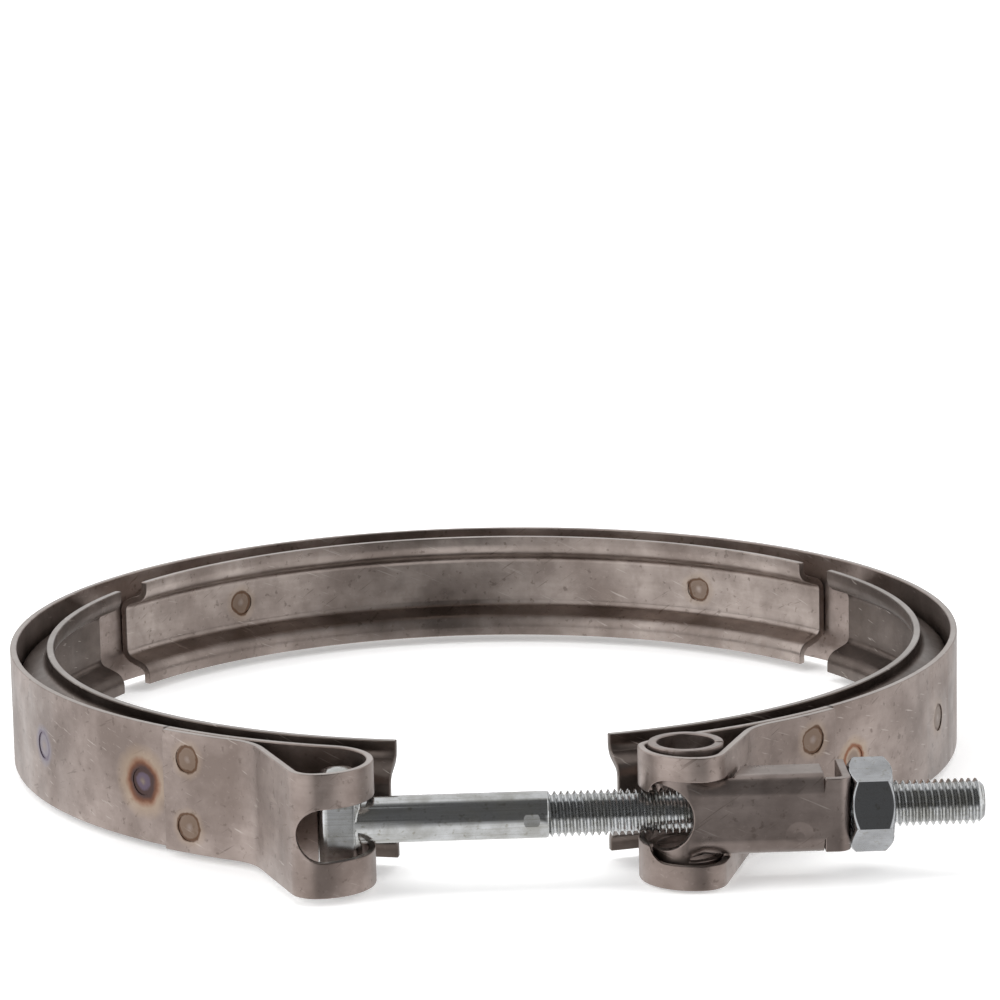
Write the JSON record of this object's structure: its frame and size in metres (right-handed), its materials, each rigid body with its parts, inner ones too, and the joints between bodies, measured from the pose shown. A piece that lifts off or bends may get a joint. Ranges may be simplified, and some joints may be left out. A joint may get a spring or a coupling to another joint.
{
  "type": "v band clamp",
  "caption": "Round band clamp with a V groove on its inside that draws two pipe flanges together when the nut on its T bolt is turned.",
  "frame": {"origin": "on the ring's axis, in the middle plane of the V groove", "axes": "+Z along the ring's axis; -Y towards the bolt, which runs along +X from its T head to its nut"},
  "size_m": [0.142, 0.1523, 0.0192],
  "materials": {
    "stainless_sheet": "worn mill finish",
    "plated_steel": "bright plated"
  },
  "bodies": {
    "clamp_band": {"band": "stainless_sheet", "retainer_left": "stainless_sheet", "retainer_right": "stainless_sheet", "retainer_rear": "stainless_sheet"},
    "trunnion": {"trunnion": "stainless_sheet"},
    "t_bolt": {"t_bolt": "plated_steel"},
    "nut": {"hex_nut": "plated_steel"}
  },
  "joints": [
    {"name": "trunnion_swing", "type": "hinge", "parent": "clamp_band", "child": "trunnion", "pos_m": [0.02429, -0.07347, 0], "axis": [0, 0, 1], "range_deg": [-1, 1]},
    {"name": "nut_turn", "type": "hinge", "parent": "trunnion", "child": "nut", "pos_m": [0.04912, -0.07347, 0], "axis": [1, 0, 0], "range_deg": [0, 1080]},
    {"name": "bolt_draw", "type": "slide", "parent": "trunnion", "child": "t_bolt", "axis": [1, 0, 0], "range_m": [-0.00272, 0]}
  ],
  "couplings": [
    {"joint": "nut_turn", "follows": "bolt_draw", "rad_per_m": -6926.3}
  ]
}
